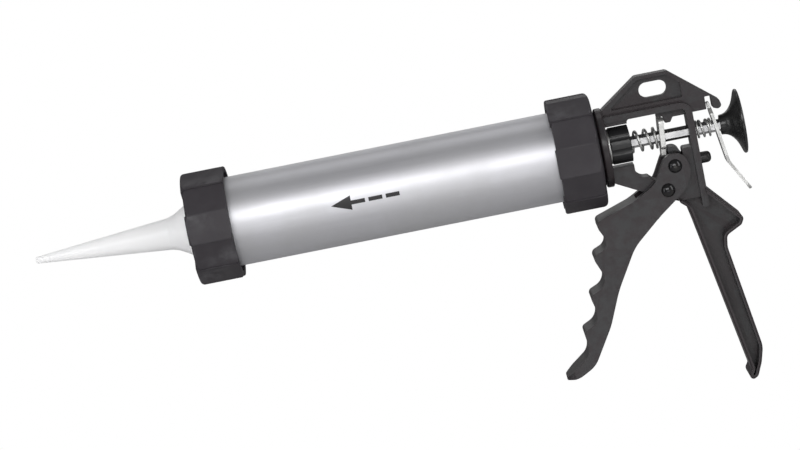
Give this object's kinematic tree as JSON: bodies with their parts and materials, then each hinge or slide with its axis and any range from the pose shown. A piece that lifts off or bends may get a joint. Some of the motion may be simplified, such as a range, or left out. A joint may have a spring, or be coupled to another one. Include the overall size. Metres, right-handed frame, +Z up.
{
  "type": "caulking gun",
  "caption": "Hand caulking gun for foil packs, with an aluminium barrel, two screw caps, a cone nozzle and a cast frame with trigger.",
  "frame": {"origin": "centre of the nozzle's open end, on the axis of the barrel and the rod", "axes": "+X from the nozzle to the pull knob along the barrel's axis, +Z up with the handle hanging down, +Y to the gun's left as seen from its user"},
  "size_m": [0.4234, 0.068, 0.1891],
  "materials": {
    "barrel_aluminium": "satin brushed",
    "cap_plastic": "matte moulded",
    "nut_plastic": "matte moulded",
    "nozzle_plastic": "milky translucent",
    "piston_plastic": "moulded",
    "zinc_steel": "bright zinc plated",
    "black_steel": "glossy black",
    "black_casting": "black powder coat",
    "knob_plastic": "gloss moulded",
    "stop_rubber": "smooth"
  },
  "bodies": {
    "frame": {"frame_casting": "black_casting", "lever_stop": "stop_rubber", "trigger_rivet": "black_steel", "main_spring": "zinc_steel", "release_spring": "zinc_steel"},
    "barrel": {"rear_cap": "cap_plastic", "lock_nut": "nut_plastic", "lock_washer": "zinc_steel", "barrel_tube": "barrel_aluminium"},
    "nozzle": {"nozzle": "nozzle_plastic"},
    "front_cap": {"front_cap": "cap_plastic"},
    "trigger": {"trigger": "black_casting", "pawl_rivet": "black_steel"},
    "pawl": {"pawl": "black_steel"},
    "drive_plate": {"drive_plate": "zinc_steel"},
    "rod": {"push_rod": "zinc_steel", "piston_plate": "zinc_steel", "piston_cup": "piston_plastic", "piston_washer": "zinc_steel", "piston_nut": "zinc_steel", "pull_knob": "knob_plastic"},
    "release_lever": {"release_lever": "zinc_steel"}
  },
  "joints": [
    {"name": "barrel_swivel", "type": "hinge", "parent": "frame", "child": "barrel", "pos_m": [0.33821, 0, 0], "axis": [1, 0, 0], "continuous": true},
    {"name": "cap_travel", "type": "slide", "parent": "barrel", "child": "nozzle", "axis": [-1, 0, 0], "range_m": [0, 0.0102]},
    {"name": "cap_turn", "type": "hinge", "parent": "nozzle", "child": "front_cap", "pos_m": [0.0942, 0, 0], "axis": [-1, 0, 0], "range_deg": [0, 900]},
    {"name": "trigger_squeeze", "type": "hinge", "parent": "frame", "child": "trigger", "pos_m": [0.37241, 0, -0.0302], "axis": [0, -1, 0], "range_deg": [0, 30], "stiffness_Nm_per_rad": 0.8, "springref_deg": -28.65},
    {"name": "pawl_turn", "type": "hinge", "parent": "trigger", "child": "pawl", "pos_m": [0.37891, 0, -0.017], "axis": [0, 1, 0], "range_deg": [0, 31]},
    {"name": "plate_push", "type": "slide", "parent": "frame", "child": "drive_plate", "axis": [-1, 0, 0], "range_m": [0, 0.00767], "deforming": ["main_spring"]},
    {"name": "rod_slide", "type": "slide", "parent": "frame", "child": "rod", "axis": [1, 0, 0], "range_m": [0, 0.205]},
    {"name": "release_lever_press", "type": "hinge", "parent": "frame", "child": "release_lever", "pos_m": [0.40501, 0, 0.014], "axis": [0, 1, 0], "range_deg": [0, 12], "stiffness_Nm_per_rad": 0.3, "springref_deg": -17.19, "deforming": ["release_spring"]}
  ],
  "couplings": [
    {"joint": "cap_travel", "follows": "cap_turn", "m_per_rad": 0.00063662},
    {"joint": "pawl_turn", "follows": "trigger_squeeze", "ratio": 1},
    {"joint": "plate_push", "follows": "trigger_squeeze", "m_per_rad": 0.014268}
  ]
}
